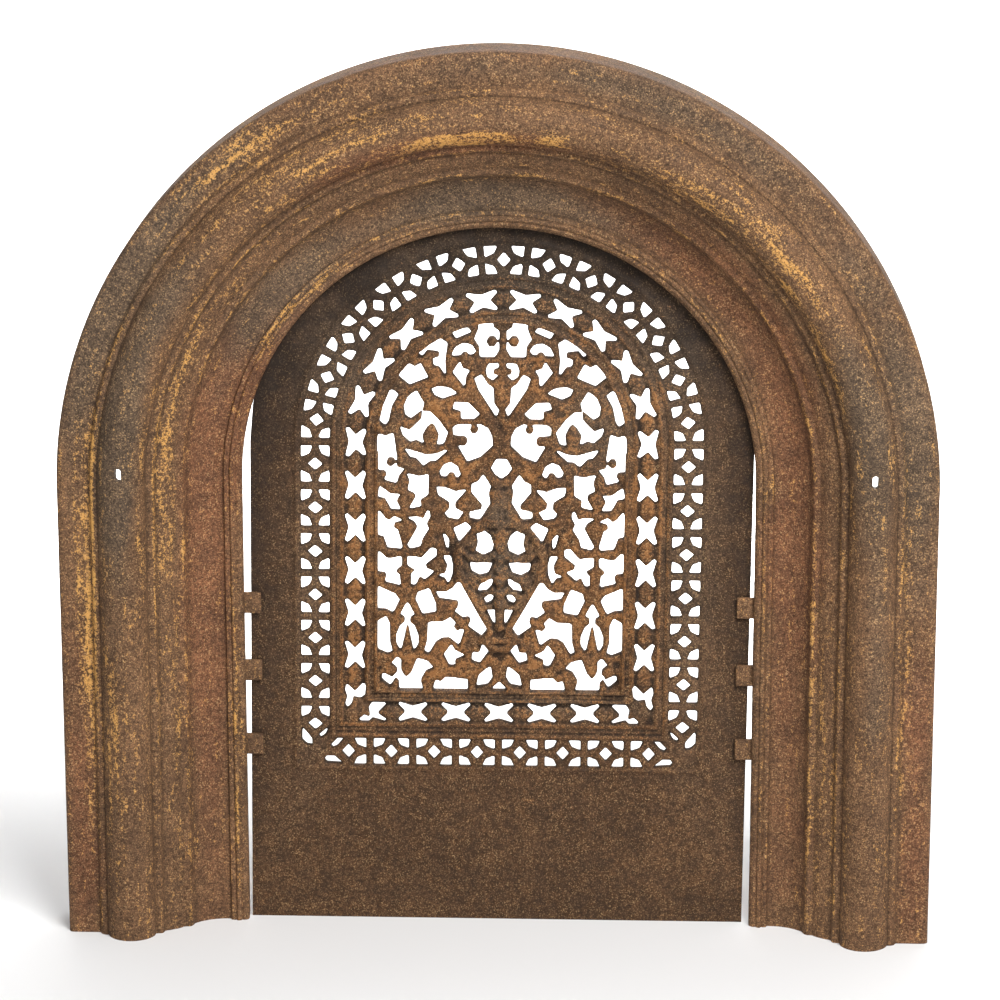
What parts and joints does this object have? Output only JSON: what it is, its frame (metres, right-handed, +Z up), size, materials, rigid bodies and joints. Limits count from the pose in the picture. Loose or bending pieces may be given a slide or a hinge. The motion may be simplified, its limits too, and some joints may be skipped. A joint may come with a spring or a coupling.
{
  "type": "fireplace surround",
  "caption": "Arched cast-iron fireplace surround with bold round mouldings, and a pierced scrollwork summer cover standing behind its opening on the same floor.",
  "frame": {"origin": "on the floor, at the middle of the object's box", "axes": "+Z up; +Y towards the wall, so the moulded front faces -Y; +X to the right of someone facing the front"},
  "size_m": [0.8, 0.0776, 0.829],
  "materials": {
    "rusted_surround_iron": "old brown rust with ochre high spots and grey-brown patches",
    "rusted_cover_iron": "old brown rust, orange-brown on the raised pattern"
  },
  "bodies": {
    "root": {"surround": "rusted_surround_iron", "summer_cover": "rusted_cover_iron"}
  },
  "joints": []
}
